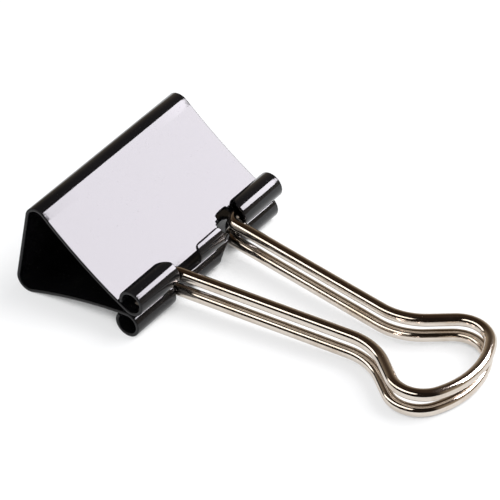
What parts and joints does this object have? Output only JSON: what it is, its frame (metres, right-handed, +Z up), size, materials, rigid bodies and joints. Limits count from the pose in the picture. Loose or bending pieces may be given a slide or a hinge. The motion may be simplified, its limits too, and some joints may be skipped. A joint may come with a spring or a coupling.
{
  "type": "binder clip",
  "caption": "Spring-steel binder clip with a triangular body, rolled barrel edges and folding bent-wire handles, lying closed on its side.",
  "frame": {"origin": "centre of the bounding box on the table that the clip lies on", "axes": "+X across the jaws, +Y from the clip's back towards the handles' loops, +Z up from the table"},
  "size_m": [0.019, 0.0394, 0.0091],
  "materials": {
    "lacquer": "gloss black baked lacquer on spring steel",
    "nickel": "bright nickel-plated drawn wire"
  },
  "bodies": {
    "back": {"back": "lacquer"},
    "upper_jaw": {"upper_face": "lacquer", "upper_lip": "lacquer", "upper_left_barrel": "lacquer", "upper_right_barrel": "lacquer"},
    "lower_jaw": {"lower_face": "lacquer", "lower_lip": "lacquer", "lower_left_barrel": "lacquer", "lower_right_barrel": "lacquer"},
    "upper_handle": {"upper_handle": "nickel"},
    "lower_handle": {"lower_handle": "nickel"}
  },
  "joints": [
    {"name": "upper_jaw_flex", "type": "hinge", "parent": "back", "child": "upper_jaw", "pos_m": [0, -0.01625, 0.00868], "axis": [1, 0, 0], "range_deg": [0, 22], "stiffness_Nm_per_rad": 0.05},
    {"name": "lower_jaw_flex", "type": "hinge", "parent": "back", "child": "lower_jaw", "pos_m": [0, -0.01817, 0.0002], "axis": [-1, 0, 0], "range_deg": [0, 22], "stiffness_Nm_per_rad": 0.05},
    {"name": "upper_handle_pivot", "type": "hinge", "parent": "upper_jaw", "child": "upper_handle", "pos_m": [0, -0.00777, 0.00323], "axis": [1, 0, 0], "range_deg": [0, 143]},
    {"name": "lower_handle_pivot", "type": "hinge", "parent": "lower_jaw", "child": "lower_handle", "pos_m": [0, -0.00817, 0.00147], "axis": [-1, 0, 0], "range_deg": [0, 165]}
  ],
  "couplings": [
    {"joint": "lower_jaw_flex", "follows": "upper_jaw_flex", "ratio": 1}
  ]
}
